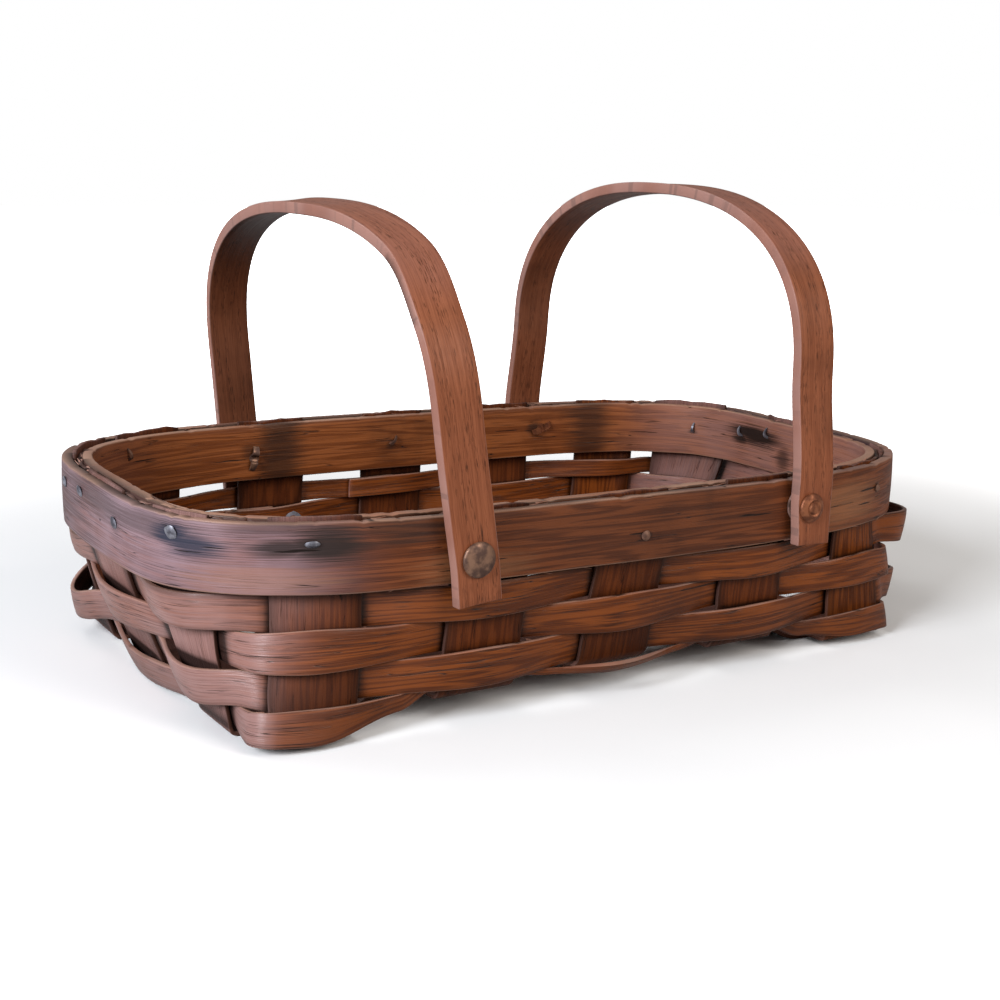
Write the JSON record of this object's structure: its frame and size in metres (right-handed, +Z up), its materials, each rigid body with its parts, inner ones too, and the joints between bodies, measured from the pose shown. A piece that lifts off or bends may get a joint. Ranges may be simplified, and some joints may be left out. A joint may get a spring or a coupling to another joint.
{
  "type": "foraging basket",
  "caption": "Low rectangular splint basket with round corners, a nailed double hoop rim and bent-wood swing handles on split rivets.",
  "frame": {"origin": "on the surface the basket stands on, under the middle of its rim", "axes": "+X along the length, with the copper-riveted handle on that side; +Y to the far long side; +Z up"},
  "size_m": [0.4046, 0.2526, 0.2162],
  "materials": {
    "stake_splint": "aged, dry",
    "weaver_splint": "aged, dry",
    "outer_rim": "aged, worn smooth",
    "inner_rim": "aged, worn smooth",
    "rim_filler": "aged, splintered",
    "handle_wood": "worn smooth",
    "bronze": "dark patina",
    "copper": "worn patina",
    "washer_metal": "dark patina",
    "nail_iron": "rusty"
  },
  "bodies": {
    "basket": {"cross_stake_1": "stake_splint", "cross_stake_2": "stake_splint", "cross_stake_3": "stake_splint", "cross_stake_4": "stake_splint", "cross_stake_5": "stake_splint", "long_stake_1": "stake_splint", "long_stake_2": "stake_splint", "long_stake_3": "stake_splint", "weaver_row_1": "weaver_splint", "weaver_row_2": "weaver_splint", "weaver_row_3": "weaver_splint", "weaver_row_4": "weaver_splint", "outer_rim": "outer_rim", "inner_rim": "inner_rim", "rim_filler": "rim_filler", "rivet_left_near": "bronze", "washer_left_near": "washer_metal", "rivet_left_far": "bronze", "washer_left_far": "washer_metal", "rivet_right_near": "copper", "washer_right_near": "washer_metal", "rivet_right_far": "copper", "washer_right_far": "washer_metal", "nail_01": "nail_iron", "nail_02": "nail_iron", "nail_03": "nail_iron", "nail_04": "nail_iron", "nail_05": "nail_iron", "nail_06": "nail_iron", "nail_07": "nail_iron", "nail_08": "nail_iron", "nail_09": "nail_iron", "nail_10": "nail_iron", "nail_11": "nail_iron", "nail_12": "nail_iron"},
    "handle_left": {"handle_left": "handle_wood"},
    "handle_right": {"handle_right": "handle_wood"}
  },
  "joints": [
    {"name": "left_handle_swing", "type": "hinge", "parent": "basket", "child": "handle_left", "pos_m": [-0.0847, 0, 0.07233], "axis": [0, 1, 0], "range_deg": [-104, 39]},
    {"name": "right_handle_swing", "type": "hinge", "parent": "basket", "child": "handle_right", "pos_m": [0.0924, 0, 0.07498], "axis": [0, 1, 0], "range_deg": [-36, 112]}
  ]
}
